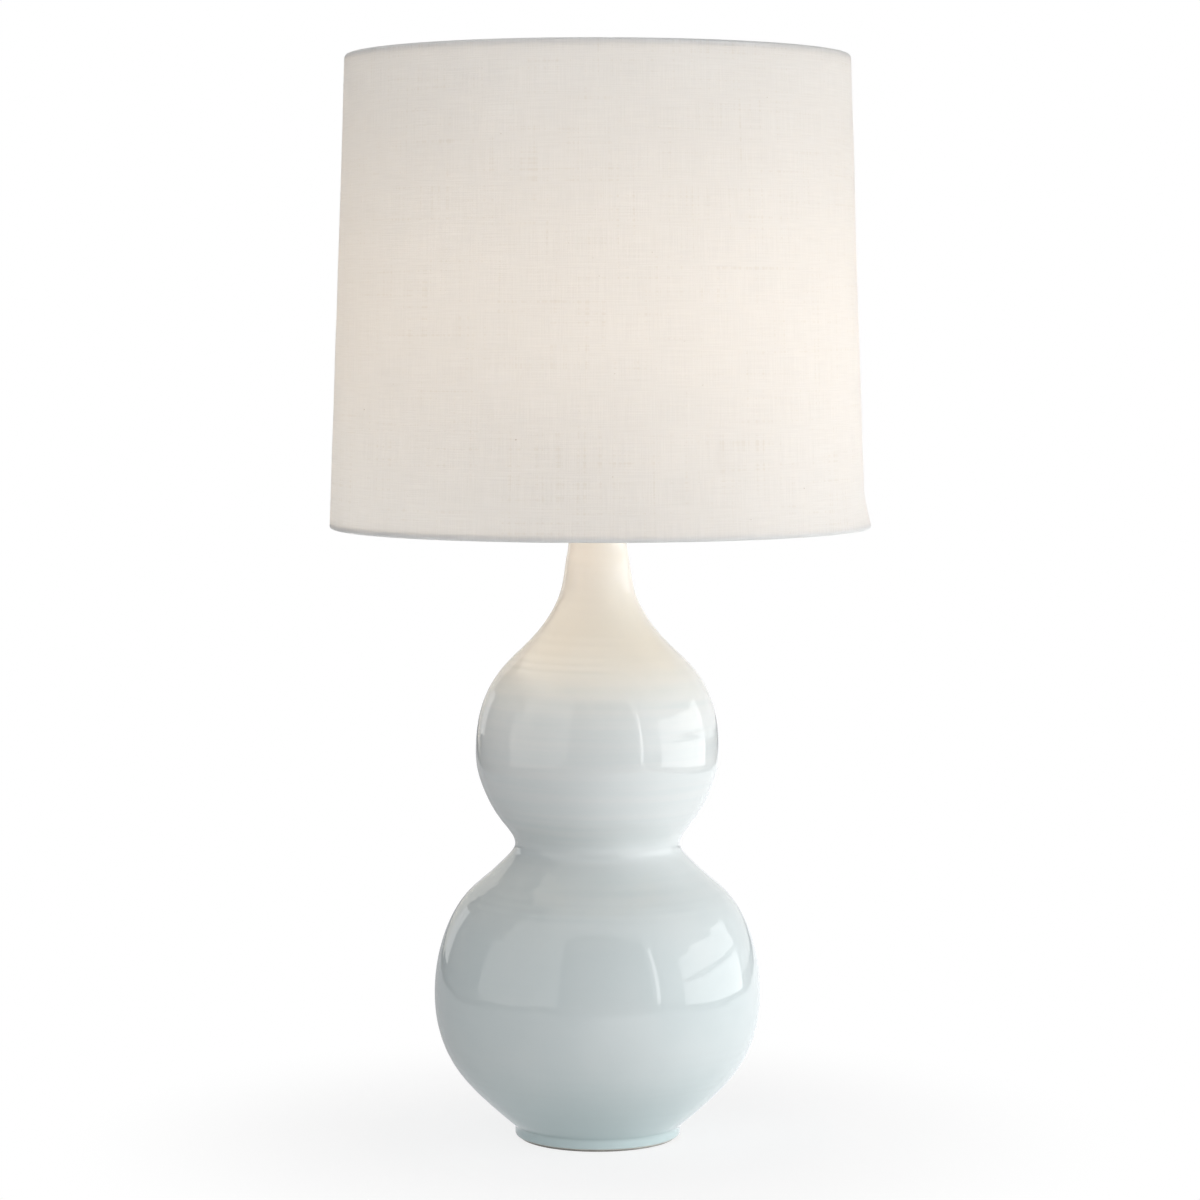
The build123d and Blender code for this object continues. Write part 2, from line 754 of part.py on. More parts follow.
wire_bottom = ledge_top + tenon_height + slip_gap
pad_middle = pad_bottom + pad_thickness / 2
foot_inner = harp_half_span + running_gap
with BuildPart() as harp_hoop:
    with BuildLine(Plane.XZ) as hoop_line:
        FilletPolyline(
            (harp_half_span, wire_bottom),
            (harp_half_span, wire_bottom + harp_straight),
            (harp_half_width, ledge_top + harp_bulge_low),
            (harp_half_width, ledge_top + harp_bulge_high),
            (harp_shoulder_half, pad_middle),
            (pad_length / 2 - pad_weld, pad_middle),
            radius=[harp_bend_radius, harp_bulge_radius, harp_bulge_radius, harp_shoulder_radius],
        )
    with BuildSketch(Plane(hoop_line.line @ 0, z_dir=(0, 0, 1))):
        Circle(harp_wire_radius)
    sweep(path=hoop_line.line)
    # the wire's end is flattened into a plate that stands beside the saddle's tenon
    with BuildSketch(Plane.XY.offset(ledge_top)):
        with Locations((foot_inner + harp_foot_thickness / 2, 0)):
            Rectangle(harp_foot_thickness, tenon_width)
    extrude(amount=tenon_height + slip_gap + harp_foot_lap)
    mirror(about=Plane.YZ)
    with BuildSketch(Plane.XY.offset(pad_bottom)):
        SlotOverall(pad_length, pad_width)
    extrude(amount=pad_thickness)
    with BuildSketch(Plane.XY.offset(pad_bottom)):
        Circle(stud_shank_radius + running_gap)
    extrude(amount=pad_thickness, mode=Mode.SUBTRACT)
harp_hoop.part.label = "harp_hoop"
export_step(harp_hoop.part, "parts/harp_hoop.step")

with BuildPart() as harp_sleeve_left:
    with BuildSketch(Plane.XY.offset(ledge_top)):
        with Locations((-harp_half_span, 0)):
            Circle(sleeve_outer_radius)
            Circle(sleeve_inner_radius, mode=Mode.SUBTRACT)
    extrude(amount=tenon_height)
harp_sleeve_left.part.label = "harp_sleeve_left"
export_step(harp_sleeve_left.part, "parts/harp_sleeve_left.step")

with BuildPart() as harp_sleeve_right:
    add(harp_sleeve_left.part)
    mirror(about=Plane.YZ, mode=Mode.REPLACE)
harp_sleeve_right.part.label = "harp_sleeve_right"
export_step(harp_sleeve_right.part, "parts/harp_sleeve_right.step")

head_top = pad_bottom - rivet_play
with BuildPart() as harp_stud:
    with BuildSketch(Plane.XZ):
        with BuildLine():
            post_top = fitter_bottom + stud_post_height
            Polyline(
                (0, head_top - stud_head_thickness),
                (stud_head_radius - stud_head_thickness / 2, head_top - stud_head_thickness),
                (stud_head_radius, head_top),
                (stud_shank_radius, head_top),
                (stud_shank_radius, flange_bottom),
                (stud_flange_radius, flange_bottom),
                (stud_flange_radius, fitter_bottom),
                (stud_post_radius, fitter_bottom),
                (stud_post_radius, post_top - stud_tip_chamfer),
                (stud_post_radius - stud_tip_chamfer, post_top),
                (0, post_top),
                close=True,
            )
        make_face()
    revolve(axis=Axis.Z)
harp_stud.part.label = "harp_stud"
export_step(harp_stud.part, "parts/harp_stud.step")


# ---- Shade ---------------------------------------------------------------------------------------

# The fabric is rolled round a wire ring at each end. The hem's outer circle and the panel share a tangent.
hem_inner_radius = shade_wire_radius + ring_gap
hem_radius = hem_inner_radius + fabric_thickness
top_ring_radius = shade_top_radius - hem_radius
top_ring_height = shade_top - hem_radius
bottom_ring_radius = shade_bottom_radius - hem_radius
bottom_ring_height = shade_bottom + hem_radius
panel_run = bottom_ring_radius - top_ring_radius
panel_rise = top_ring_height - bottom_ring_height
panel_length = hypot(panel_run, panel_rise)
lean = atan2(panel_run, panel_rise)


def panel_point(out, along):
    """A point of the panel's section: out from the line between the rings, and along it from the bottom."""
    radius = bottom_ring_radius + out * cos(lean) - along * sin(lean)
    height = bottom_ring_height + out * sin(lean) + along * cos(lean)
    return (radius, height)


with BuildPart() as shade_fabric:
    with BuildSketch(Plane.XZ):
        with BuildLine():
            Line(panel_point(hem_radius, 0), panel_point(hem_radius, panel_length))
            Line(panel_point(hem_inner_radius, 0), panel_point(hem_inner_radius, panel_length))
            for along, sweep_angle in ((0, -hem_sweep), (panel_length, hem_sweep)):
                ring_centre = panel_point(0, along)
                outer_roll = CenterArc(ring_centre, hem_radius, degrees(lean), sweep_angle)
                inner_roll = CenterArc(ring_centre, hem_inner_radius, degrees(lean), sweep_angle)
                Line(outer_roll @ 1, inner_roll @ 1)
        make_face()
    revolve(axis=Axis.Z)
    # the roll is notched where an arm of the frame leaves the top ring
    notch_half = arm_wire_radius + notch_margin
    notch_inner = top_ring_radius - hem_radius - cut_past
    notch_outer = top_ring_radius + notch_past_crest
    with BuildSketch(Plane.XY.offset(top_ring_height - notch_half)):
        with PolarLocations((notch_inner + notch_outer) / 2, arm_count, start_angle=first_arm_angle):
            Rectangle(notch_outer - notch_inner, 2 * notch_half)
    extrude(amount=notch_half + hem_radius + cut_past, mode=Mode.SUBTRACT)
shade_fabric.part.label = "shade_fabric"
export_step(shade_fabric.part, "parts/shade_fabric.step")

liner_outer = hem_inner_radius - glue_gap
liner_inner = liner_outer - liner_thickness
liner_end = shade_wire_radius + glue_gap
with BuildPart() as shade_liner:
    with BuildSketch(Plane.XZ):
        with BuildLine():
            Polyline(
                panel_point(liner_outer, liner_end),
                panel_point(liner_outer, panel_length - liner_end),
                panel_point(liner_inner, panel_length - liner_end),
                panel_point(liner_inner, liner_end),
                close=True,
            )
        make_face()
    revolve(axis=Axis.Z)
shade_liner.part.label = "shade_liner"
export_step(shade_liner.part, "parts/shade_liner.step")

with BuildPart() as shade_bottom_ring:
    with BuildSketch(Plane.XZ):
        with Locations((bottom_ring_radius, bottom_ring_height)):
            Circle(shade_wire_radius)
    revolve(axis=Axis.Z)
shade_bottom_ring.part.label = "shade_bottom_ring"
export_step(shade_bottom_ring.part, "parts/shade_bottom_ring.step")

arm_height = fitter_top + arm_wire_radius - arm_weld_sink
with BuildPart() as shade_top_ring:
    with BuildSketch(Plane.XZ):
        with Locations((top_ring_radius, top_ring_height)):
            Circle(shade_wire_radius)
    revolve(axis=Axis.Z)
    for arm in range(arm_count):
        turn = radians(first_arm_angle + arm * 360 / arm_count)
        outward = Vector(cos(turn), sin(turn), 0)
        arm_plane = Plane(origin=(0, 0, 0), x_dir=outward, z_dir=(sin(turn), -cos(turn), 0))
        with BuildLine(arm_plane) as arm_line:
            FilletPolyline(
                (top_ring_radius, top_ring_height),
                (top_ring_radius - arm_run, top_ring_height),
                (arm_landing, arm_height),
                (arm_end_radius, arm_height),
                radius=arm_bend_radius,
            )
        with BuildSketch(Plane(arm_line.line @ 0, z_dir=-outward)):
            Circle(arm_wire_radius)
        sweep(path=arm_line.line)
    with BuildSketch(Plane.XY.offset(fitter_bottom)):
        Circle(fitter_radius)
    extrude(amount=fitter_thickness)
    with BuildSketch(Plane.XY.offset(fitter_bottom)):
        Circle(fitter_hole_radius)
    extrude(amount=fitter_thickness, mode=Mode.SUBTRACT)
shade_top_ring.part.label = "shade_top_ring"
export_step(shade_top_ring.part, "parts/shade_top_ring.step")


# ---- Finial --------------------------------------------------------------------------------------

ball_centre = fitter_top + finial_height - finial_ball_radius
with BuildPart() as finial:
    with BuildSketch(Plane.XZ):
        with BuildLine():
            foot_side = Polyline(
                (0, fitter_top),
                (finial_radius, fitter_top),
                (finial_radius, fitter_top + finial_base_thickness),
            )
            cove = Spline(
                foot_side @ 1,
                (finial_neck_radius, fitter_top + finial_neck_height),
                (finial_ball_radius, ball_centre),
                tangents=[(-1, 0.2), (0, 1)],
            )
            RadiusArc(cove @ 1, (0, ball_centre + finial_ball_radius), -finial_ball_radius)
            Line((0, ball_centre + finial_ball_radius), foot_side @ 0)
        make_face()
    revolve(axis=Axis.Z)
    with BuildSketch(Plane.XY.offset(fitter_top)):
        Circle(stud_post_radius + finial_gap)
    extrude(amount=finial_bore_depth, mode=Mode.SUBTRACT)
finial.part.label = "finial"
export_step(finial.part, "parts/finial.step")
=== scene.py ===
import math

import bmesh
import bpy
import numpy as np
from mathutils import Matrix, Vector


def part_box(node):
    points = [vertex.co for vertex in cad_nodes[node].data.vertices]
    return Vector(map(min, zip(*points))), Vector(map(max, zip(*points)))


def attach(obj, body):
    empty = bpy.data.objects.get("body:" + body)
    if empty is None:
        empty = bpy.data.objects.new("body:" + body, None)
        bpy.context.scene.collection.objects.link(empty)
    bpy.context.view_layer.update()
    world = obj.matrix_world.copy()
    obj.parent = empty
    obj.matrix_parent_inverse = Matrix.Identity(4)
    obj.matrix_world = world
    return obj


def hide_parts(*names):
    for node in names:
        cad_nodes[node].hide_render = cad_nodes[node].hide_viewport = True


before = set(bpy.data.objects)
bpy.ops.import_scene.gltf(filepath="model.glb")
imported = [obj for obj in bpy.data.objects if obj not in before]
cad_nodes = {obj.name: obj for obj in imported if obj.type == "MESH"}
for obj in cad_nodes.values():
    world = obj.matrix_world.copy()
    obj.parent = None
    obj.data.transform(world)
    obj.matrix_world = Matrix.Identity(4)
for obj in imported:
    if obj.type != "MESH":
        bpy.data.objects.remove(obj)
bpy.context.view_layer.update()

MM = 0.001

# ---- Sizes ---------------------------------------------------------------------------------------

# camera, fitted to the rims of the shade and to the foot
camera_place = (0.0018, -2.8158, 0.6255)
camera_pitch = math.radians(4.316)
camera_lens = 111.15
camera_sensor = 36.0

# gourd: the turned shell is read from the frame, and the potter's marks are added to it
gourd_columns = 288
outer_step = 1.25 * MM
inner_step = 8.0 * MM
foot_step = 1.1 * MM
foot_height = 9.5 * MM
cavity_floor = 28.0 * MM
pipe_hole_reach = 20.0 * MM
lip_round = 1.4 * MM
ring_pitch = 11.0 * MM
ring_fade = 14.0 * MM
# (share of a ring, length, start) of the waves along the wall that bunch the rings
ring_bunches = ((0.35, 0.0113, 0.4), (0.16, 0.0047, 0.0))
groove_narrowing = 1.4
ring_unevenness = 0.45
wall_unevenness = 0.00030
pool_full_depth = 0.00012
# (height, spread, depth) of the stretches where the rings are deep
deep_rings = (
    (0.372, 0.030, 0.00009),
    (0.325, 0.020, 0.00003),
    (0.462, 0.026, 0.00006),
    (0.188, 0.020, 0.00008),
    (0.245, 0.012, 0.00006),
    (0.060, 0.030, 0.00004),
)
plain_ring_depth = 0.025 * MM
# the arch in the foot ring where the cord leaves
outlet_radius = 4.0 * MM
outlet_near, outlet_far = 0.046, 0.072
outlet_sides = 17
arch_sharp_angle = 66
# heights between which the colour changes: bare clay, the deep foot, the two bulbs, and the shoulder and the neck,
# which get painted warm light
clay_heights = (0.0019, 0.0027)
deep_heights = (0.012, 0.085)
bulb_heights = (0.14, 0.30)
lit_shoulder_heights = (0.325, 0.385)
lit_neck_heights = (0.385, 0.455)
lip_steps = 7
# heights closer than this are the same
same_height = 1e-5

# shade: a linen skin rolled round a wire ring at each end
shade_top_radius = 190.5 * MM
shade_bottom_radius = 203.2 * MM
hem_wire = 1.5 * MM
hem_gap = 0.2 * MM
cloth_thickness = 0.6 * MM
liner_thickness = 0.5 * MM
hem_roll = math.radians(288)
shade_columns = 384
panel_rows = 110
roll_rows = 22
seam_half = 5.0 * MM
seam_lift = 0.35 * MM
seam_edges = np.array([0.9, 1.0, 1.06])
broad_puff, fine_puff = 0.00016, 0.00010
out_of_round = 0.00035
# the spot on the right where the lower hem is pushed out, with its start and run as shares of the height
flare_depth = 0.0052
flare_turn, flare_spread = -0.04, 0.34
flare_start, flare_run = 0.915, 0.085
liner_gap = 0.05 * MM
liner_rows = 40
wire_sides = 16
weld_swell, weld_turn, weld_spread = 0.12, 2.2, 0.006
arm_angles = [math.radians(272.6 + 120 * arm) for arm in range(3)]
notch_half = 1.8 * MM
notch_past_crest = 0.9 * MM
cutter_margin = 1.0 * MM

# looks and stage
bulb_glow = 0.42
# the share of the light that passes through the linen and through the liner
linen_through, liner_through = 0.58, 0.52
# the lamp in the bulb, in shares of the widest radius of its glass: its own radius, and how far it is below the top
bulb_lamp_radius, bulb_lamp_drop = 0.74, 1.3
fill_colour = (0.94, 0.97, 1.0)
fill_strength = 0.33
table_half_width = 0.95
table_front = 0.95
floor_reach = 6.0
floor_drop = 0.3 * MM
# near the lamp the floor is this much plain white, so that its shadow stays pale, and past the far distance it is
# nothing but white
floor_lift = 0.80
floor_near, floor_far = 0.14, 0.42


# ---- Meshes --------------------------------------------------------------------------------------


def mesh_object(name, points, faces):
    """A flat-shaded mesh piece from an array of points and a list of faces, in the row frame."""
    mesh = bpy.data.meshes.new(name)
    mesh.from_pydata(np.asarray(points, float).reshape(-1, 3).tolist(), [], faces)
    mesh.validate()
    piece = bpy.data.objects.new(name, mesh)
    bpy.context.scene.collection.objects.link(piece)
    return piece


def ring_grid(name, grid, cloth=None):
    """A closed skin over a grid of points: rows close round the section, and columns round the axis.

    cloth = (across, along) gives each column's and row's place on the flat cloth, one more of each
    than the grid has, for a weave that follows it.
    """
    rows, columns = grid.shape[:2]
    i, j = np.meshgrid(np.arange(rows), np.arange(columns), indexing="ij")
    below, beside = (i + 1) % rows, (j + 1) % columns
    faces = np.stack([i * columns + j, i * columns + beside, below * columns + beside, below * columns + j], -1)
    mesh = bpy.data.meshes.new(name)
    mesh.vertices.add(rows * columns)
    mesh.vertices.foreach_set("co", grid.reshape(-1).astype(np.float32))
    mesh.loops.add(faces.size)
    mesh.loops.foreach_set("vertex_index", faces.reshape(-1).astype(np.int32))
    mesh.polygons.add(rows * columns)
    mesh.polygons.foreach_set("loop_start", np.arange(0, faces.size, 4, dtype=np.int32))
    mesh.update(calc_edges=True)
    mesh.polygons.foreach_set("use_smooth", [True] * len(mesh.polygons))
    if cloth is not None:
        across, along = cloth
        u = np.stack([across[j], across[j + 1], across[j + 1], across[j]], -1)
        v = np.stack([along[i], along[i], along[i + 1], along[i + 1]], -1)
        layer = mesh.uv_layers.new(name="cloth")
        layer.data.foreach_set("uv", np.stack([u, v], -1).reshape(-1).astype(np.float32))
    mesh.validate()
    piece = bpy.data.objects.new(name, mesh)
    bpy.context.scene.collection.objects.link(piece)
    return piece


def angles(columns, start=0.0):
    return start + np.arange(columns) * 2 * math.pi / columns


def revolve(section, turns):
    """The grid of points that a section of (radius, height) sweeps at the given angles."""
    radius, height = section[:, 0, None], section[:, 1, None]
    x, y = radius * np.cos(turns), radius * np.sin(turns)
    return np.stack([x, y, np.broadcast_to(height, x.shape)], -1)


def cut(piece, *cutters, sharp=40):
    """Takes the cutters out of a piece, deletes them, and keeps edges past an angle in degrees crisp."""
    for cutter in cutters:
        difference = piece.modifiers.new("cut", "BOOLEAN")
        difference.operation = "DIFFERENCE"
        difference.solver = "EXACT"
        difference.object = cutter
    graph = bpy.context.evaluated_depsgraph_get()
    result = bpy.data.meshes.new_from_object(piece.evaluated_get(graph), depsgraph=graph)
    piece.modifiers.clear()
    piece.data = result
    for cutter in cutters:
        bpy.data.objects.remove(cutter)
    piece.data.set_sharp_from_angle(angle=math.radians(sharp))


def turn_faces_out(piece):
    """Points every face of a closed mesh outward."""
    shape = bmesh.new()
    shape.from_mesh(piece.data)
    bmesh.ops.recalc_face_normals(shape, faces=shape.faces)
    shape.to_mesh(piece.data)
    shape.free()


def box_points(low, high):
    """The eight corners of a box and its six faces."""
    corners = [(x, y, z) for z in (low[2], high[2]) for y in (low[1], high[1]) for x in (low[0], high[0])]
    faces = [(0, 2, 3, 1), (4, 5, 7, 6), (0, 1, 5, 4), (2, 6, 7, 3), (0, 4, 6, 2), (1, 3, 7, 5)]
    return corners, faces


def wander(turns, along, seed, counts, pitch):
    """Smooth random waves round and along a turned form, about -1 to 1, that join up round the axis.

    counts is the range of whole waves round the axis, and pitch the length of the shortest wave along it.
    """
    draw = np.random.default_rng(seed)
    total, waves = np.zeros(np.broadcast(turns, along).shape), 9
    for _ in range(waves):
        count = draw.integers(counts[0], counts[1] + 1)
        rate = draw.uniform(-1, 1) * 2 * math.pi / pitch
        total += np.sin(count * turns + rate * along + draw.uniform(0, 2 * math.pi))
    return total / math.sqrt(waves) / 1.5


def side_points(node, outward):
    """(radius, height) of a turned CAD node's wall where it crosses +X, from the bottom up."""
    mesh = cad_nodes[node].data
    found = set()
    for vertex in mesh.vertices:
        x, y, z = vertex.co
        if abs(y) < 1e-6 and x > 0 and (vertex.normal.x > 0.05 if outward else vertex.normal.x < -0.05):
            found.add((round(x, 6), round(z, 6)))
    return np.array(sorted(found, key=lambda point: point[1]))


def smooth_line(points, step):
    """Points about a step apart on a smooth curve through the given ones, with their runs along it."""
    run = np.concatenate([[0], np.cumsum(np.hypot(*np.diff(points, axis=0).T))])
    slopes = np.stack([np.gradient(points[:, k], run, edge_order=2) for k in (0, 1)], -1)
    at = np.linspace(0, run[-1], max(int(round(run[-1] / step)), 1) + 1)
    i = np.clip(np.searchsorted(run, at, side="right") - 1, 0, len(run) - 2)
    gap = run[i + 1] - run[i]
    t = ((at - run[i]) / gap)[:, None]
    gap = gap[:, None]
    curve = (
        (2 * t**3 - 3 * t**2 + 1) * points[i]
        + (t**3 - 2 * t**2 + t) * gap * slopes[i]
        + (3 * t**2 - 2 * t**3) * points[i + 1]
        + (t**3 - t**2) * gap * slopes[i + 1]
    )
    return curve, at


def arc(centre, radius, start, sweep, count):
    """count points on an arc of (radius, height), both ends included."""
    turn = start + sweep * np.linspace(0, 1, count)
    return np.stack([centre[0] + radius * np.cos(turn), centre[1] + radius * np.sin(turn)], -1)


# ---- Materials -----------------------------------------------------------------------------------


class Finish:
    """A node material: its Principled shader, and short calls for the nodes that feed it."""

    def __init__(self, name, **inputs):
        self.material = bpy.data.materials.new(name)
        self.material.use_nodes = True
        self.nodes, self.links = self.material.node_tree.nodes, self.material.node_tree.links
        self.shader = self.nodes["Principled BSDF"]
        self.output = self.nodes["Material Output"]
        self.set(self.shader, **inputs)

    def set(self, node, **inputs):
        for key, value in inputs.items():
            socket = node.inputs[key.replace("_", " ")]
            if isinstance(value, bpy.types.NodeSocket):
                self.links.new(value, socket)
            elif isinstance(value, tuple) and len(value) == 3 and socket.type == "RGBA":
                socket.default_value = (*value, 1)
            else:
                socket.default_value = value

    def node(self, kind, settings=(), **inputs):
        node = self.nodes.new(kind)
        for key, value in dict(settings).items():
            setattr(node, key, value)
        self.set(node, **inputs)
        return node

    def place(self, scale=(1, 1, 1), layer=None):
        """The piece's own coordinates in metres, or a layer of flat ones, stretched by a scale."""
        source = self.node("ShaderNodeUVMap", {"uv_map": layer}).outputs["UV"] if layer else (
            self.node("ShaderNodeTexCoord").outputs["Object"]
        )
        return self.node("ShaderNodeMapping", Vector=source, Scale=scale).outputs["Vector"]

    def noise(self, place, scale=1.0, detail=2.0, roughness=0.5):
        return self.node(
            "ShaderNodeTexNoise", Vector=place, Scale=scale, Detail=detail, Roughness=roughness
        ).outputs["Fac"]

    def range(self, value, low, high, to_low, to_high):
        node = self.node("ShaderNodeMapRange", {"interpolation_type": "SMOOTHSTEP"}, Value=value)
        for key, number in (("From Min", low), ("From Max", high), ("To Min", to_low), ("To Max", to_high)):
            node.inputs[key].default_value = number
        return node.outputs["Result"]

    def math(self, operation, a, b):
        node = self.nodes.new("ShaderNodeMath")
        node.operation = operation
        for socket, value in zip(node.inputs, (a, b)):
            if isinstance(value, bpy.types.NodeSocket):
                self.links.new(value, socket)
            else:
                socket.default_value = value
        return node.outputs["Value"]

    def mix(self, share, a, b):
        node = self.nodes.new("ShaderNodeMix")
        node.data_type = "RGBA"
        for key, value in ((0, share), (6, a), (7, b)):
            socket = node.inputs[key]
            if isinstance(value, bpy.types.NodeSocket):
                self.links.new(value, socket)
            else:
                socket.default_value = (*value, 1) if isinstance(value, tuple) else value
        return node.outputs[2]

    def blend(self, share, first, second):
        """Mixes two shaders, given by their outputs."""
        node = self.node("ShaderNodeMixShader", Fac=share)
        self.links.new(first, node.inputs[1])
        self.links.new(second, node.inputs[2])
        return node.outputs[0]

    def surface(self, shader):
        self.links.new(shader, self.output.inputs["Surface"])

    def bump(self, height, distance, under=None):
        """Bumps the surface, over the bump of another height where one is given."""
        node = self.node("ShaderNodeBump", Height=height, Distance=distance, Strength=1.0)
        if under is not None:
            self.links.new(under, node.inputs["Normal"])
        self.links.new(node.outputs["Normal"], self.shader.inputs["Normal"])
        return node.outputs["Normal"]


def tinted(finish, base, dark, scale):
    """Gives a finish a colour that drifts between two tints with a noise."""
    patch = finish.range(finish.noise(finish.place(), scale, 3.0), 0.35, 0.65, 0.0, 1.0)
    finish.set(finish.shader, **{"Base Color": finish.mix(patch, base, dark)})


def let_through(finish, share, **inputs):
    """Lets a share of the light through a thin closed skin, which scatters it where it enters and not again
    where it leaves, as one sheet does."""
    through = finish.node("ShaderNodeBsdfTranslucent", **inputs).outputs[0]
    leaving = finish.node("ShaderNodeNewGeometry").outputs["Backfacing"]
    clear = finish.node("ShaderNodeBsdfTransparent").outputs[0]
    finish.surface(finish.blend(leaving, finish.blend(share, finish.shader.outputs[0], through), clear))


def glaze_finish():
    """Glossy pale celadon, bluer low down and where it pools in the grooves, bare under the foot, with painted warm
    light higher up.
    """
    finish = Finish("glaze_look", IOR=1.5)
    height = finish.node("ShaderNodeSeparateXYZ", Vector=finish.place()).outputs["Z"]
    pool = finish.node("ShaderNodeAttribute", {"attribute_name": "pool"}).outputs["Fac"]
    streak = finish.noise(finish.place((5, 5, 190)), 1.0, 3.0, 0.55)
    cloud = finish.noise(finish.place(), 14.0, 2.0)
    # the upper bulb is lighter and warmer than the lower: partly the glaze's own tint, partly painted warm light from
    # the lamp above
    upper = finish.range(height, *bulb_heights, 0.0, 1.0)
    ground = finish.mix(upper, (0.580, 0.632, 0.630), (0.662, 0.675, 0.660))
    # the pooled rings come and go round the pot
    patches = finish.range(finish.noise(finish.place((9, 9, 60)), 1.0, 2.0), 0.4, 0.62, 0.0, 0.42)
    thick = finish.mix(finish.math("MULTIPLY", pool, patches), ground, (0.545, 0.605, 0.605))
    thick = finish.mix(finish.range(streak, 0.38, 0.68, 0.0, 0.35), thick, (0.580, 0.632, 0.628))
    thick = finish.mix(finish.range(cloud, 0.35, 0.7, 0.0, 0.3), thick, (0.665, 0.692, 0.682))
    low = finish.range(height, *deep_heights, 0.75, 0.0)
    body = finish.mix(low, thick, (0.50, 0.605, 0.605))
    # painted warm light: the shoulder and the neck are paler and warmer, standing in for the light that the lit
    # inside of the shade throws on them
    body = finish.mix(finish.range(height, *lit_shoulder_heights, 0.0, 0.9), body, (0.612, 0.586, 0.522))
    body = finish.mix(finish.range(height, *lit_neck_heights, 0.0, 1.0), body, (0.735, 0.698, 0.636))
    clay = finish.mix(finish.noise(finish.place(), 900.0, 3.0), (0.62, 0.56, 0.48), (0.74, 0.69, 0.61))
    bare = finish.range(height, *clay_heights, 1.0, 0.0)
    finish.set(finish.shader, **{"Base Color": finish.mix(bare, body, clay)})
    gloss = finish.range(finish.noise(finish.place(), 60.0, 3.0), 0.3, 0.7, 0.018, 0.045)
    finish.set(finish.shader, Roughness=finish.math("MAXIMUM", gloss, finish.math("MULTIPLY", bare, 0.8)))
    wobble = finish.bump(finish.noise(finish.place((1, 1, 2.2)), 22.0, 1.0), 0.00014)
    ripple = finish.bump(finish.noise(finish.place((6, 6, 95)), 1.0, 1.0), 0.00006, under=wobble)
    finish.bump(streak, 0.000010, under=ripple)
    return finish.material


def linen_finish():
    """Plain-woven linen with slubs both ways, which lets some light through."""
    tint = (0.89, 0.885, 0.88)
    finish = Finish("linen_look", Roughness=0.92, Specular_IOR_Level=0.15)
    flat = finish.place(layer="cloth")
    warp = finish.noise(finish.place((1500, 34, 1), "cloth"), 1.0, 2.0, 0.6)
    weft = finish.noise(finish.place((30, 1500, 1), "cloth"), 1.0, 2.0, 0.6)
    broad_warp = finish.noise(finish.place((420, 9, 1), "cloth"), 1.0, 2.0)
    broad_weft = finish.noise(finish.place((8, 420, 1), "cloth"), 1.0, 2.0)
    threads = finish.math("ADD", warp, weft)
    slubs = finish.math("ADD", broad_warp, broad_weft)
    shade = finish.range(threads, 0.70, 1.30, 0.0, 1.0)
    cream = tuple(channel * 0.93 for channel in tint)
    colour = finish.mix(finish.math("MULTIPLY", shade, 0.8), cream, tint)
    darker = tuple(channel * share for channel, share in zip(tint, (0.90, 0.885, 0.86)))
    colour = finish.mix(finish.range(slubs, 1.12, 1.36, 0.0, 0.75), colour, darker)
    speck = finish.range(finish.noise(finish.place((210, 260, 1), "cloth"), 1.0, 1.0), 0.79, 0.83, 0.0, 0.5)
    colour = finish.mix(speck, colour, (0.42, 0.37, 0.30))
    finish.set(finish.shader, **{"Base Color": colour})
    over = finish.node("ShaderNodeTexWave", {"bands_direction": "X"}, Vector=flat, Scale=520.0, Distortion=1.5)
    under = finish.node("ShaderNodeTexWave", {"bands_direction": "Y"}, Vector=flat, Scale=520.0, Distortion=1.5)
    weave = finish.math("ADD", over.outputs["Fac"], under.outputs["Fac"])
    normal = finish.bump(finish.math("ADD", finish.math("MULTIPLY", weave, 0.5), threads), 0.00016)
    let_through(finish, linen_through, Color=colour, Normal=normal)
    return finish.material


def liner_finish():
    """White styrene behind the linen, smooth and milky."""
    finish = Finish("styrene_look", Roughness=0.38)
    tinted(finish, (0.88, 0.865, 0.835), (0.84, 0.82, 0.785), 9.0)
    finish.bump(finish.noise(finish.place(), 60.0, 2.0), 0.00008)
    let_through(finish, liner_through, Color=(0.90, 0.87, 0.82))
    return finish.material


def metal_finish(name, tint, dark, roughness, grain=(1, 1, 1), grain_scale=700.0, grain_depth=0.00002):
    """Metal with a drifting tint, and a fine grain in its polish."""
    finish = Finish(name, Metallic=1.0)
    tinted(finish, tint, dark, 85.0)
    scratch = finish.noise(finish.place(grain), grain_scale, 3.0, 0.6)
    finish.set(finish.shader, Roughness=finish.range(scratch, 0.3, 0.7, roughness * 0.75, roughness * 1.3))
    finish.bump(scratch, grain_depth)
    return finish.material


def plain_finish(name, tint, dark, roughness, scale=120.0, bump_scale=900.0, bump=0.00003):
    """A moulded, painted or pressed surface: a drifting tint, and a fine texture."""
    finish = Finish(name)
    tinted(finish, tint, dark, scale)
    texture = finish.noise(finish.place(), bump_scale, 3.0, 0.6)
    finish.set(finish.shader, Roughness=finish.range(texture, 0.3, 0.7, roughness * 0.85, min(roughness * 1.15, 1)))
    finish.bump(texture, bump)
    return finish.material


def felt_finish():
    """Pressed wool felt: matted fibres of two tints."""
    finish = Finish("felt_look", Roughness=1.0, Specular_IOR_Level=0.1)
    fibre = finish.noise(finish.place(), 1600.0, 4.0, 0.7)
    tuft = finish.noise(finish.place(), 240.0, 3.0, 0.6)
    colour = finish.mix(finish.range(fibre, 0.3, 0.7, 0.0, 1.0), (0.33, 0.32, 0.30), (0.47, 0.455, 0.43))
    colour = finish.mix(finish.range(tuft, 0.35, 0.65, 0.0, 0.4), colour, (0.26, 0.25, 0.235))
    finish.set(finish.shader, **{"Base Color": colour})
    finish.bump(finish.math("ADD", fibre, tuft), 0.0005)
    return finish.material


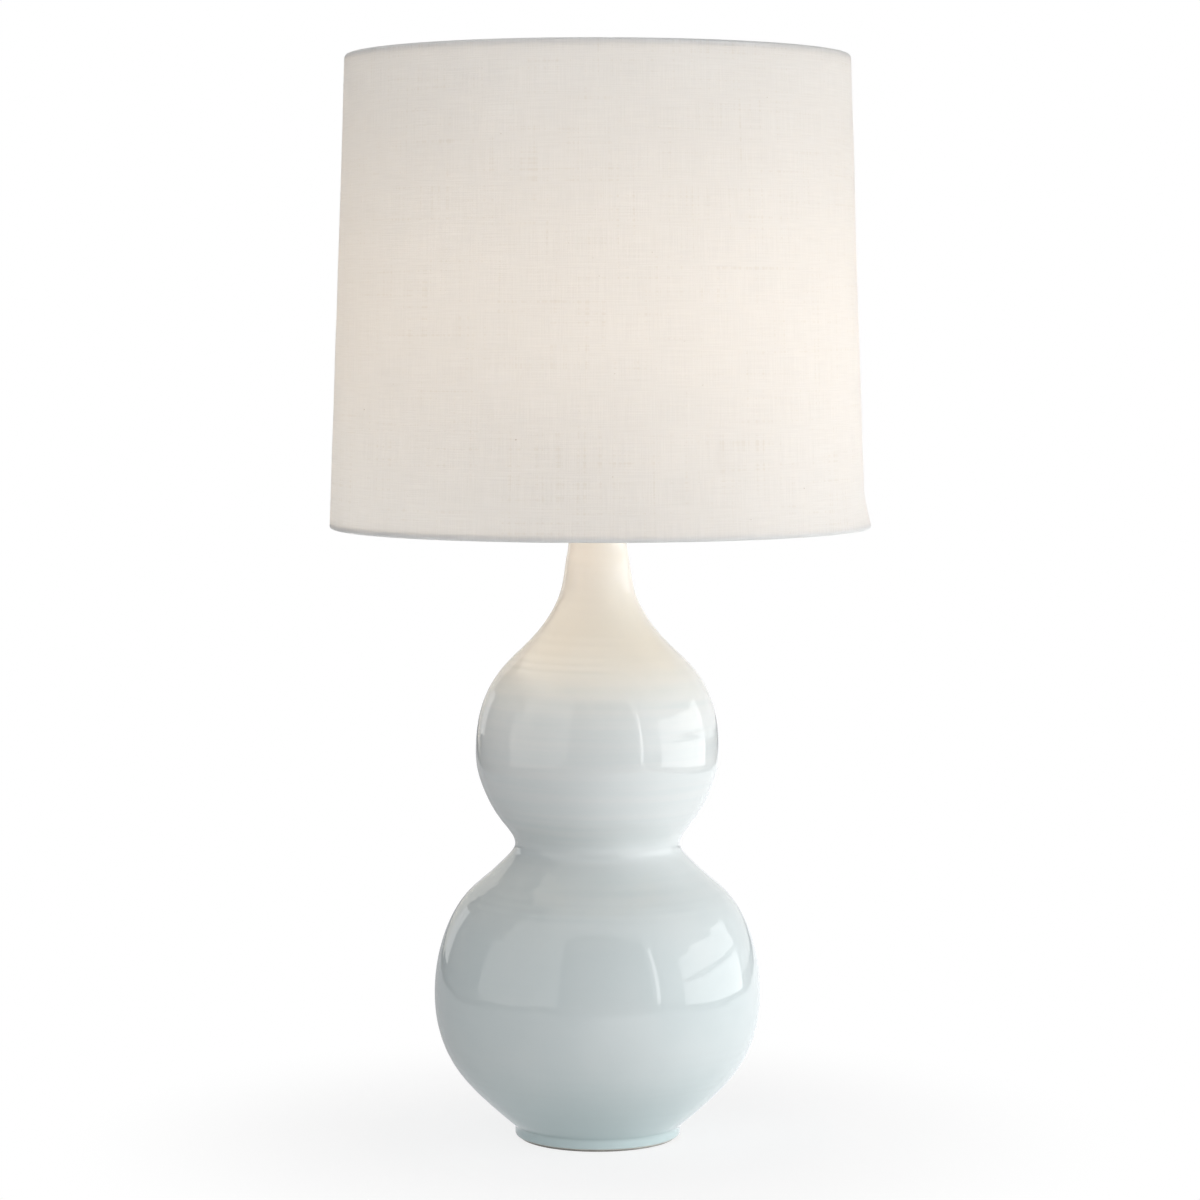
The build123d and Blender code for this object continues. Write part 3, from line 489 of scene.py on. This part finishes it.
def lit_glass_finish():
    """Frosted bulb glass, white inside and lit: dimmer and warmer towards its cap."""
    finish = Finish("frosted_look", Roughness=0.35, IOR=1.5)
    height = finish.node("ShaderNodeSeparateXYZ", Vector=finish.place()).outputs["Z"]
    frost = finish.noise(finish.place(), 500.0, 3.0)
    finish.set(finish.shader, **{"Base Color": finish.mix(frost, (0.58, 0.56, 0.52), (0.64, 0.62, 0.58))})
    low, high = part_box("bulb_glass")
    glow = finish.range(height, low.z, low.z + 0.55 * (high.z - low.z), 0.25, 1.0)
    finish.set(finish.shader, **{"Emission Color": finish.mix(glow, (1.0, 0.72, 0.46), (1.0, 0.90, 0.74))})
    finish.set(finish.shader, **{"Emission Strength": finish.math("MULTIPLY", glow, bulb_glow)})
    finish.bump(frost, 0.00003)
    # the frosted glass passes the light of the lamp inside it
    passing = finish.node("ShaderNodeLightPath").outputs["Is Shadow Ray"]
    clear = finish.node("ShaderNodeBsdfTransparent").outputs[0]
    finish.surface(finish.blend(passing, finish.shader.outputs[0], clear))
    return finish.material


def clear_glass_finish():
    """Clear lamp glass, with faint drawn lines."""
    finish = Finish("clear_glass_look", Roughness=0.02, IOR=1.5, Transmission_Weight=1.0)
    tinted(finish, (0.96, 0.98, 0.97), (0.90, 0.94, 0.93), 120.0)
    finish.bump(finish.noise(finish.place((1, 1, 8)), 90.0, 2.0), 0.00004)
    return finish.material


looks = {
    "glaze": glaze_finish(),
    "linen": linen_finish(),
    "styrene": liner_finish(),
    "felt": felt_finish(),
    "shade_wire": plain_finish("shade_wire_look", (0.80, 0.79, 0.77), (0.72, 0.71, 0.69), 0.42, bump=0.00004),
    "nickel": metal_finish("nickel_look", (0.70, 0.66, 0.60), (0.60, 0.56, 0.50), 0.22, (1, 1, 14), 160.0),
    "zinc": metal_finish("zinc_look", (0.62, 0.64, 0.66), (0.50, 0.51, 0.52), 0.38, grain_scale=420.0),
    "brass": metal_finish("brass_look", (0.80, 0.58, 0.27), (0.64, 0.43, 0.18), 0.26, (1, 1, 10), 200.0),
    "phenolic": plain_finish("phenolic_look", (0.055, 0.04, 0.032), (0.028, 0.021, 0.017), 0.45),
    "knob_black": plain_finish("knob_black_look", (0.020, 0.019, 0.018), (0.012, 0.011, 0.011), 0.28),
    "card": plain_finish("card_look", (0.46, 0.36, 0.25), (0.36, 0.27, 0.18), 0.9, 60.0, 1500.0, 0.00008),
    "frosted_glass": lit_glass_finish(),
    "clear_glass": clear_glass_finish(),
    "black_glass": plain_finish("black_glass_look", (0.012, 0.012, 0.016), (0.022, 0.021, 0.026), 0.12),
    "bulb_metal": metal_finish("bulb_metal_look", (0.76, 0.77, 0.78), (0.66, 0.67, 0.68), 0.30, (1, 1, 9), 260.0),
    "solder": metal_finish("solder_look", (0.66, 0.66, 0.65), (0.50, 0.50, 0.49), 0.42, (1, 1, 1), 500.0, 0.00006),
    "tungsten": metal_finish("tungsten_look", (0.42, 0.41, 0.40), (0.33, 0.32, 0.31), 0.35),
    "gasket_rubber": plain_finish("gasket_rubber_look", (0.030, 0.029, 0.028), (0.045, 0.043, 0.041), 0.75),
}


def dress(piece, slot, body, *replaced):
    """Gives a new piece its finish and its body, and hides the CAD node or nodes that it stands for."""
    piece.data.materials.clear()
    piece.data.materials.append(looks[slot])
    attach(piece, body)
    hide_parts(*replaced)


# ---- Gourd ---------------------------------------------------------------------------------------


def bell(value, centre, spread):
    """1 at the centre, falling off smoothly on both sides."""
    return np.exp(-(((value - centre) / spread) ** 2))


def outlet_cutter():
    """An upright block with a round top, which cuts the cord's arch through the foot ring at the back."""
    top_arc = [(outlet_radius * math.cos(t), outlet_radius + outlet_radius * math.sin(t))
               for t in np.linspace(0, math.pi, outlet_sides)]
    outline = [(outlet_radius, 0.0), *top_arc, (-outlet_radius, 0.0)]
    points = [(x, y, z) for y in (outlet_near, outlet_far) for x, z in outline]
    size = len(outline)
    faces = [tuple(range(size)), tuple(range(2 * size - 1, size - 1, -1))]
    faces += [(k, k + size, (k + 1) % size + size, (k + 1) % size) for k in range(size)]
    arch = mesh_object("arch_cutter", points, faces)
    turn_faces_out(arch)
    return arch


def make_gourd():
    """The thrown shell: the frame's own section turned round, with throwing rings that climb in a spiral."""
    outside = side_points("gourd_body", outward=True)
    inside = side_points("gourd_body", outward=False)
    wall, run = smooth_line(outside[outside[:, 1] >= foot_height - same_height], outer_step)
    cavity = smooth_line(inside[inside[:, 1] > cavity_floor + same_height][::-1], inner_step)[0]
    foot = outside[outside[:, 1] < foot_height - same_height]
    # rows up the foot wall, so that the round shading of its top corner stays near the corner
    rise = np.arange(foot[-1][1] + foot_step, foot_height - foot_step / 2, foot_step)
    foot = np.concatenate([foot, np.stack([np.full(len(rise), foot[-1][0]), rise], -1)])
    recess = inside[inside[:, 1] < cavity_floor + same_height]
    hole, ceiling = recess[recess[:, 0] < pipe_hole_reach], recess[recess[:, 0] > pipe_hole_reach]
    # a small glazed round instead of the sharp edges of the mouth
    mouth_out, mouth_in, top = wall[-1][0], cavity[0][0], wall[-1][1]
    lip = np.concatenate([
        arc((mouth_out - lip_round, top - lip_round), lip_round, 0.0, math.pi / 2, lip_steps),
        arc((mouth_in + lip_round, top - lip_round), lip_round, math.pi / 2, math.pi / 2, lip_steps),
    ])
    below_lip = wall[:, 1] < top - lip_round
    wall, run = wall[below_lip], run[below_lip]
    cavity = cavity[cavity[:, 1] < top - lip_round]
    under = np.array([
        (hole[0][0], cavity_floor),
        (hole[0][0], ceiling[:, 1].max()),
        (ceiling[0][0], ceiling[:, 1].max()),
        (ceiling[0][0], foot[0][1]),
    ])
    section = np.concatenate([foot, wall, lip, cavity, [(cavity[-1][0], cavity_floor)], under])
    turns = angles(gourd_columns)
    grid = revolve(section, turns)

    # throwing rings: a spiral groove whose depth changes with height and wanders round the pot
    first, last = len(foot), len(foot) + len(wall)
    along, around = run[:, None], turns[None, :]
    count = along / ring_pitch
    for share, length, start in ring_bunches:
        count = count + share * np.sin(along / length + start)
    groove = (0.5 - 0.5 * np.cos(2 * math.pi * count + around)) ** groove_narrowing
    height = wall[:, 1][:, None]
    depth = plain_ring_depth + sum(deep * bell(height, centre, spread) for centre, spread, deep in deep_rings)
    depth = depth * (1 + ring_unevenness * wander(around, along, 11, (1, 5), 0.06))
    fade = np.clip(np.minimum(along, run[-1] - along) / ring_fade, 0, 1) ** 2
    inward = (depth * groove + wall_unevenness * wander(around, along, 5, (2, 4), 0.10)) * fade
    slope = np.gradient(wall, run, axis=0)
    normal = np.stack([slope[:, 1, None] * np.cos(around), slope[:, 1, None] * np.sin(around),
                       np.broadcast_to(-slope[:, 0, None], inward.shape)], -1)
    grid[first:last] -= inward[..., None] * normal
    piece = ring_grid("gourd_shell", grid)
    pool = np.zeros(grid.shape[:2])
    pool[first:last] = np.clip(groove * depth / pool_full_depth, 0, 1) * fade
    piece.data.attributes.new("pool", "FLOAT", "POINT").data.foreach_set("value", pool.reshape(-1).astype(np.float32))

    cut(piece, outlet_cutter(), sharp=arch_sharp_angle)
    dress(piece, "glaze", "base", "gourd_body")


# ---- Shade ---------------------------------------------------------------------------------------

shade_low, shade_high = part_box("shade_fabric")
hem_inner = hem_wire + hem_gap
hem_outer = hem_inner + cloth_thickness
top_ring = np.array([shade_top_radius - hem_outer, shade_high.z - hem_outer])
bottom_ring = np.array([shade_bottom_radius - hem_outer, shade_low.z + hem_outer])
panel_run, panel_rise = bottom_ring[0] - top_ring[0], top_ring[1] - bottom_ring[1]
panel_length = math.hypot(panel_run, panel_rise)
lean = math.atan2(panel_run, panel_rise)


def panel_point(out, along):
    """(radius, height) out from the line between the two wire rings, and along it from the bottom."""
    return np.array([
        bottom_ring[0] + out * math.cos(lean) - along * math.sin(lean),
        bottom_ring[1] + out * math.sin(lean) + along * math.cos(lean),
    ])


def shade_shape(grid):
    """Bends the pieces of the shade alike: the rings are a little out of round, and one side is pushed out."""
    x, y, z = grid[..., 0], grid[..., 1], grid[..., 2]
    turns, radius = np.arctan2(y, x), np.hypot(x, y)
    low = np.clip((shade_high.z - z) / (shade_high.z - shade_low.z), 0, 1)
    hem = np.clip((low - flare_start) / flare_run, 0, 1) ** 1.5
    flare = flare_depth * bell(turns, flare_turn, flare_spread) * hem
    out = out_of_round * wander(turns, z, 31, (2, 5), 0.5) + flare
    scale = 1 + out / radius
    return np.stack([x * scale, y * scale, z], -1)


def notch_cutter(turn):
    """A block that opens the top hem for an arm of the wire frame."""
    inner_end, outer_end = top_ring[0] - hem_outer - cutter_margin, top_ring[0] + notch_past_crest
    corners, faces = box_points((inner_end, -notch_half, top_ring[1] - notch_half),
                                (outer_end, notch_half, shade_high.z + 2 * cutter_margin))
    turned = [(x * math.cos(turn) - y * math.sin(turn), x * math.sin(turn) + y * math.cos(turn), z)
              for x, y, z in corners]
    cutter = mesh_object("notch_cutter", turned, faces)
    turn_faces_out(cutter)
    return cutter


def make_fabric():
    """The linen: one cloth round the drum, rolled over the wire rings, and lapped in a seam at the back."""
    outer = np.concatenate([
        arc(bottom_ring, hem_outer, lean - hem_roll, hem_roll, roll_rows),
        np.array([panel_point(hem_outer, share * panel_length) for share in np.linspace(0, 1, panel_rows)[1:-1]]),
        arc(top_ring, hem_outer, lean, hem_roll, roll_rows),
    ])
    inner = np.concatenate([
        arc(top_ring, hem_inner, lean + hem_roll, -hem_roll, roll_rows),
        np.array([panel_point(hem_inner, share * panel_length) for share in np.linspace(1, 0, panel_rows)[1:-1]]),
        arc(bottom_ring, hem_inner, lean, -hem_roll, roll_rows),
    ])
    section = np.concatenate([outer, inner])
    # extra columns stand on the edges of the seam at the back
    back = math.pi / 2
    seam_turn = seam_half / shade_bottom_radius
    turns = np.unique(np.concatenate([
        angles(shade_columns, back), back + seam_turn * seam_edges, back + 2 * math.pi - seam_turn * seam_edges,
    ]).round(9))
    turns = turns[turns < back + 2 * math.pi - 1e-6]
    grid = revolve(section, turns)
    off_back = np.minimum(turns - back, back + 2 * math.pi - turns) / seam_turn
    lapped = (off_back <= 1.0) & (turns - back < math.pi)
    panel = slice(roll_rows, roll_rows + panel_rows - 2)
    outward = np.stack([np.cos(turns), np.sin(turns), np.zeros_like(turns)], -1)
    grid[panel] += (seam_lift * lapped[:, None] * outward)[None]
    rows_along = np.arange(panel_rows - 2)[:, None] / (panel_rows - 3) * panel_length
    puff = (broad_puff * wander(turns[None, :], rows_along, 77, (5, 16), 0.05)
            + fine_puff * wander(turns[None, :], rows_along, 78, (22, 60), 0.16))
    grid[panel] += puff[..., None] * outward[None]
    grid = shade_shape(grid)
    step = np.linalg.norm(np.diff(np.concatenate([section, section[:1]]), axis=0), axis=1)
    along = np.concatenate([[0], np.cumsum(step)])
    half = len(outer)
    along[half:] = 2 * along[half - 1] - along[half:]
    across = np.concatenate([turns, [turns[0] + 2 * math.pi]]) * shade_bottom_radius
    piece = ring_grid("linen_drum", grid, cloth=(across, along))
    turn_faces_out(piece)
    cut(piece, *[notch_cutter(turn) for turn in arm_angles])
    dress(piece, "linen", "shade", "shade_fabric")


def make_liner():
    """The styrene sheet that stiffens the linen, between the two wire rings."""
    outer_face, inner_face = hem_inner - liner_gap, hem_inner - liner_gap - liner_thickness
    end = hem_wire + liner_gap
    rows = np.linspace(end, panel_length - end, liner_rows)
    section = np.array([panel_point(outer_face, row) for row in rows]
                       + [panel_point(inner_face, row) for row in rows[::-1]])
    piece = ring_grid("styrene_liner", shade_shape(revolve(section, angles(shade_columns))))
    turn_faces_out(piece)
    piece.data.set_sharp_from_angle(angle=math.radians(40))
    dress(piece, "styrene", "shade", "shade_liner")


def make_bottom_wire():
    """The lower wire ring, bent with the hem, and its butt weld."""
    turns = angles(shade_columns)
    section = arc(bottom_ring, hem_wire, 0.0, 2 * math.pi * (wire_sides - 1) / wire_sides, wire_sides)
    grid = revolve(section, turns)
    centre = revolve(np.array([bottom_ring]), turns)
    weld = 1 + weld_swell * bell(turns, weld_turn, weld_spread)
    grid = centre + (grid - centre) * weld[None, :, None]
    piece = ring_grid("bottom_wire", shade_shape(grid))
    turn_faces_out(piece)
    dress(piece, "shade_wire", "shade", "shade_bottom_ring")


make_gourd()
make_bottom_wire()
make_fabric()
make_liner()


# ---- CAD nodes that stay, with their finishes ----------------------------------------------------

for node in cad_nodes.values():
    slot = node.data.materials[0].name.split(".")[0] if node.data.materials else None
    if slot in looks:
        node.data.materials[0] = looks[slot]


# ---- Stage, light and camera ---------------------------------------------------------------------


def emission(name, colour, strength):
    """A plain glowing material for the stage."""
    material = bpy.data.materials.new(name)
    material.use_nodes = True
    tree = material.node_tree
    tree.nodes.clear()
    glow = tree.nodes.new("ShaderNodeEmission")
    glow.inputs["Color"].default_value = (*colour, 1)
    glow.inputs["Strength"].default_value = strength
    output = tree.nodes.new("ShaderNodeOutputMaterial")
    tree.links.new(glow.outputs[0], output.inputs["Surface"])
    return material


def stage_card(name, corners, colour, strength):
    """A card that only reflections see: the windows, walls and panels of the studio."""
    card = mesh_object(name, corners, [(0, 1, 2, 3)])
    card.data.materials.append(emission(name + "_glow", colour, strength))
    for ray in ("camera", "diffuse", "transmission", "volume_scatter", "shadow"):
        setattr(card, "visible_" + ray, False)


def upright(x0, y0, x1, y1, low, high):
    """The corners of an upright card that runs from (x0, y0) to (x1, y1)."""
    return [(x0, y0, low), (x1, y1, low), (x1, y1, high), (x0, y0, high)]


def make_floor():
    """A white table that keeps the lamp's shadow and is white to the camera past it.

    Reflections see it darker on the left, a painted shadow of the lamp, brighter towards the window on the right, and
    dark past its edge.
    """
    corners = [(x * floor_reach, y * floor_reach, -floor_drop) for x, y in ((-1, -1), (1, -1), (1, 1), (-1, 1))]
    floor = mesh_object("floor", corners, [(0, 1, 2, 3)])
    finish = Finish("floor_white", Roughness=0.9, Specular_IOR_Level=0.0, **{"Base Color": (0.90, 0.90, 0.90)})
    place = finish.node("ShaderNodeNewGeometry").outputs["Position"]
    rays = finish.node("ShaderNodeLightPath")
    split = finish.node("ShaderNodeSeparateXYZ", Vector=place)
    side = finish.math("LESS_THAN", finish.math("ABSOLUTE", split.outputs["X"], 0.0), table_half_width)
    front = finish.math("GREATER_THAN", split.outputs["Y"], -table_front)
    table = finish.math("MULTIPLY", side, front)
    table_colour = finish.mix(table, (0.20, 0.20, 0.21), (0.97, 0.98, 1.0))
    # painted shadow: to reflections the table is darker on the left, where the lamp's own shadow falls, and brighter
    # on the right
    table_glow_painted_shadow = finish.range(split.outputs["X"], -0.25, 0.15, 0.50, 1.12)
    mirrored = finish.node("ShaderNodeEmission", Color=table_colour, Strength=table_glow_painted_shadow)
    white = finish.node("ShaderNodeEmission", Color=(1, 1, 1), Strength=1.0)
    distance = finish.node("ShaderNodeVectorMath", {"operation": "LENGTH"}, Vector=place).outputs["Value"]
    faded = finish.range(distance, floor_near, floor_far, floor_lift, 1.0)
    lit = finish.shader.outputs[0]
    seen = finish.blend(faded, lit, white.outputs[0])
    for_camera = finish.blend(rays.outputs["Is Camera Ray"], lit, seen)
    for_gloss = finish.blend(rays.outputs["Is Glossy Ray"], for_camera, mirrored.outputs[0])
    # seen from below it isn't there, so that the foot and the inside of the shade can be looked at
    below = finish.node("ShaderNodeNewGeometry").outputs["Backfacing"]
    finish.surface(finish.blend(below, for_gloss, finish.node("ShaderNodeBsdfTransparent").outputs[0]))
    floor.data.materials.append(finish.material)


def make_world():
    """White to the camera, reflections and glass, and a soft pale fill for everything else."""
    world = bpy.data.worlds.new("studio")
    bpy.context.scene.world = world
    world.use_nodes = True
    nodes, links = world.node_tree.nodes, world.node_tree.links
    nodes.clear()
    rays = nodes.new("ShaderNodeLightPath")
    fill, white = nodes.new("ShaderNodeBackground"), nodes.new("ShaderNodeBackground")
    fill.inputs["Color"].default_value = (*fill_colour, 1)
    fill.inputs["Strength"].default_value = fill_strength
    white.inputs["Color"].default_value = (1, 1, 1, 1)
    white.inputs["Strength"].default_value = 1.0
    sees_white = rays.outputs["Is Camera Ray"]
    for kind in ("Is Glossy Ray", "Is Transmission Ray"):
        either = nodes.new("ShaderNodeMath")
        either.operation = "MAXIMUM"
        links.new(sees_white, either.inputs[0])
        links.new(rays.outputs[kind], either.inputs[1])
        sees_white = either.outputs[0]
    mixed, output = nodes.new("ShaderNodeMixShader"), nodes.new("ShaderNodeOutputWorld")
    links.new(sees_white, mixed.inputs[0])
    links.new(fill.outputs[0], mixed.inputs[1])
    links.new(white.outputs[0], mixed.inputs[2])
    links.new(mixed.outputs[0], output.inputs["Surface"])


def softbox(name, place, aim, size, power, colour):
    """A rectangular lamp that faces a point, and that neither the camera nor reflections see."""
    lamp = bpy.data.lights.new(name, "AREA")
    lamp.shape = "RECTANGLE"
    lamp.size, lamp.size_y = size
    lamp.energy = power
    lamp.color = colour
    light = bpy.data.objects.new(name, lamp)
    light.location = place
    light.rotation_euler = (Vector(aim) - Vector(place)).to_track_quat("-Z", "Y").to_euler()
    light.visible_camera = False
    light.visible_glossy = False
    bpy.context.scene.collection.objects.link(light)


def bulb_lamp(power, colour):
    """The light of the lit bulb: a round lamp inside its glass, which lets it through."""
    low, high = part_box("bulb_glass")
    widest = (high.x - low.x) / 2
    lamp = bpy.data.lights.new("bulb_light", "POINT")
    lamp.energy, lamp.color = power, colour
    lamp.use_soft_falloff = False
    lamp.shadow_soft_size = bulb_lamp_radius * widest
    light = bpy.data.objects.new("bulb_light", lamp)
    light.location = (0, 0, high.z - bulb_lamp_drop * widest)
    light.visible_camera = False
    bpy.context.scene.collection.objects.link(light)


make_floor()
make_world()
softbox("window_light", (1.25, -0.25, 0.19), (0, 0, 0.19), (1.4, 0.38), 13.5, (0.96, 0.98, 1.0))
bulb_lamp(1.24, (1.0, 0.84, 0.68))
# the light that the lit inside of the shade throws back on the neck
softbox("neck_bounce", (-0.115, -0.105, 0.50), (0, 0, 0.425), (0.08, 0.08), 0.074, (1.0, 0.85, 0.74))
softbox("back_fill", (-1.1, 2.1, 1.0), (0, 0, 0.45), (1.6, 1.4), 14.0, (0.97, 0.98, 1.0))
softbox("front_fill", (-0.5, -2.3, 1.15), (0, 0, 0.45), (1.6, 1.6), 20.6, (0.97, 0.98, 1.0))

# the window on the right is two panes with a bar between them
stage_card("window_lower", upright(1.45, -0.80, 1.45, 0.85, -0.08, 0.36), (1.0, 1.0, 1.0), 2.6)
stage_card("window_upper", upright(1.45, -0.80, 1.45, 0.85, 0.43, 0.80), (1.0, 1.0, 1.0), 2.6)
# a bright slit, and the darker and lighter parts of the room in front and on the left
stage_card("window_gap", upright(1.36, -1.62, 1.42, -1.54, 0.02, 1.40), (1.0, 1.0, 1.0), 4.0)
stage_card("dark_front", upright(-0.85, -1.7, 1.28, -1.7, -0.2, 1.9), (0.9, 0.95, 1.0), 0.12)
stage_card("dark_left", upright(-1.45, -0.05, -1.45, 1.4, -0.2, 0.8), (0.9, 0.95, 1.0), 0.2)
stage_card("dark_left_high", upright(-1.45, -0.75, -1.45, 2.2, 0.8, 3.4), (1.0, 0.97, 0.92), 0.16)
stage_card("wall_left", upright(-1.45, 2.2, -1.45, 8.0, -0.2, 3.4), (1.0, 0.965, 0.90), 0.74)
stage_card("light_left", upright(-1.5, -0.1, -0.95, -1.7, -0.2, 2.0), (1.0, 0.98, 0.94), 1.05)

camera = bpy.data.objects.new("camera", bpy.data.cameras.new("camera"))
camera.location = camera_place
camera.rotation_euler = (math.pi / 2 - camera_pitch, 0, 0)
camera.data.lens = camera_lens
camera.data.sensor_width = camera_sensor
bpy.context.scene.collection.objects.link(camera)
bpy.context.scene.camera = camera
bpy.context.scene.view_settings.view_transform = "Standard"
